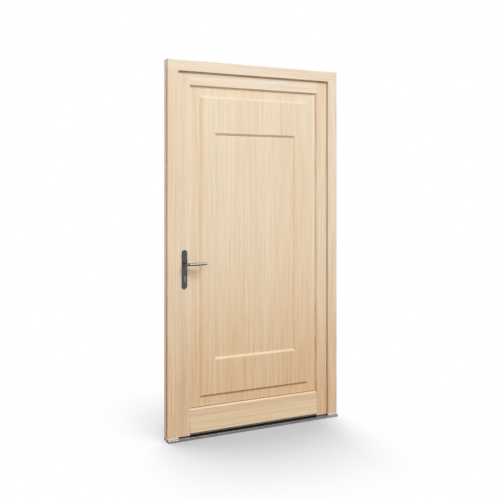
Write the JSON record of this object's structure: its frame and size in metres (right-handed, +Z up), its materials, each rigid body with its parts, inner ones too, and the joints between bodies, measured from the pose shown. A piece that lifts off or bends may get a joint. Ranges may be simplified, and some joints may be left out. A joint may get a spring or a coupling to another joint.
{
  "type": "panelled front door",
  "caption": "Inward-opening panelled timber front door in its rebated frame, with low threshold, drill-in hinges, mortise lock, profile cylinder and levers on long plates.",
  "frame": {"origin": "mid-width on the underside of the threshold, in the plane of the frame's street face", "axes": "+X across the doorway towards the hinges, +Y from the street into the room, +Z up"},
  "size_m": [1.06, 0.183, 2.06],
  "materials": {
    "pine": "satin",
    "beech": "matte",
    "fibre_core": "matte",
    "threshold_aluminium": "satin",
    "black_plastic": "matte",
    "grey_plastic": "matte",
    "black_rubber": "matte",
    "brown_rubber": "matte",
    "lock_steel": "satin",
    "hinge_metal": "satin",
    "bearing_plastic": "matte",
    "cylinder_nickel": "satin",
    "plate_graphite": "satin",
    "lever_dark_chrome": "polished"
  },
  "bodies": {
    "frame": {"lock_jamb": "pine", "hinge_jamb": "pine", "head": "pine", "frame_dowels": "beech", "threshold_outer_profile": "threshold_aluminium", "threshold_inner_profile": "threshold_aluminium", "threshold_thermal_bar": "black_plastic", "lock_jamb_foot": "grey_plastic", "hinge_jamb_foot": "grey_plastic", "threshold_screws": "lock_steel", "frame_gasket": "brown_rubber", "strike_plate": "lock_steel", "strike_screws": "lock_steel", "lower_hinge_frame_half": "hinge_metal", "lower_hinge_pin": "lock_steel", "lower_hinge_washer": "bearing_plastic", "middle_hinge_frame_half": "hinge_metal", "middle_hinge_pin": "lock_steel", "middle_hinge_washer": "bearing_plastic", "upper_hinge_frame_half": "hinge_metal", "upper_hinge_pin": "lock_steel", "upper_hinge_washer": "bearing_plastic"},
    "lever": {"outer_lever": "lever_dark_chrome", "inner_lever": "lever_dark_chrome", "spindle": "lock_steel", "lock_follower": "lock_steel", "lever_grub_screws": "lock_steel"},
    "latch": {"latch_bolt": "lock_steel"},
    "deadbolt": {"deadbolt": "lock_steel"},
    "outer_key_plug": {"outer_plug": "cylinder_nickel", "cylinder_cam": "cylinder_nickel"},
    "inner_key_plug": {"inner_plug": "cylinder_nickel"},
    "leaf": {"backplate_screws": "lock_steel", "bottom_bead": "pine", "bottom_rail": "pine", "bottom_seal": "black_rubber", "cylinder_body": "cylinder_nickel", "cylinder_screw": "lock_steel", "faceplate_screws": "lock_steel", "hinge_side_bead": "pine", "hinge_stile": "pine", "inner_backplate": "plate_graphite", "inner_lever_bush": "lever_dark_chrome", "inner_panel": "pine", "leaf_dowels": "beech", "leaf_gasket": "brown_rubber", "lock_case": "lock_steel", "lock_faceplate": "lock_steel", "lock_side_bead": "pine", "lock_stile": "pine", "lower_hinge_leaf_half": "hinge_metal", "middle_hinge_leaf_half": "hinge_metal", "outer_backplate": "plate_graphite", "outer_lever_bush": "lever_dark_chrome", "outer_panel": "pine", "panel_core": "fibre_core", "top_bead": "pine", "top_rail": "pine", "upper_hinge_leaf_half": "hinge_metal", "weatherboard": "pine"}
  },
  "joints": [
    {"name": "door_swing", "type": "hinge", "parent": "frame", "child": "leaf", "pos_m": [0.512, 0.09, 1], "axis": [0, 0, -1], "range_deg": [0, 110]},
    {"name": "lever_turn", "type": "hinge", "parent": "leaf", "child": "lever", "pos_m": [-0.431, 0.0395, 0.953], "axis": [0, 1, 0], "range_deg": [0, 40], "stiffness_Nm_per_rad": 1.2, "springref_deg": -28.65},
    {"name": "latch_slide", "type": "slide", "parent": "leaf", "child": "latch", "axis": [1, 0, 0], "range_m": [0, 0.012]},
    {"name": "outer_key_turn", "type": "hinge", "parent": "leaf", "child": "outer_key_plug", "pos_m": [-0.431, 0.0395, 0.881], "axis": [0, -1, 0], "range_deg": [0, 360]},
    {"name": "deadbolt_slide", "type": "slide", "parent": "leaf", "child": "deadbolt", "axis": [-1, 0, 0], "range_m": [0, 0.02]},
    {"name": "inner_key_turn", "type": "hinge", "parent": "leaf", "child": "inner_key_plug", "pos_m": [-0.431, 0.0395, 0.881], "axis": [0, -1, 0], "range_deg": [0, 360]}
  ],
  "couplings": [
    {"joint": "latch_slide", "follows": "lever_turn", "m_per_rad": 0.017188},
    {"joint": "outer_key_turn", "follows": "deadbolt_slide", "rad_per_m": 314.16}
  ]
}
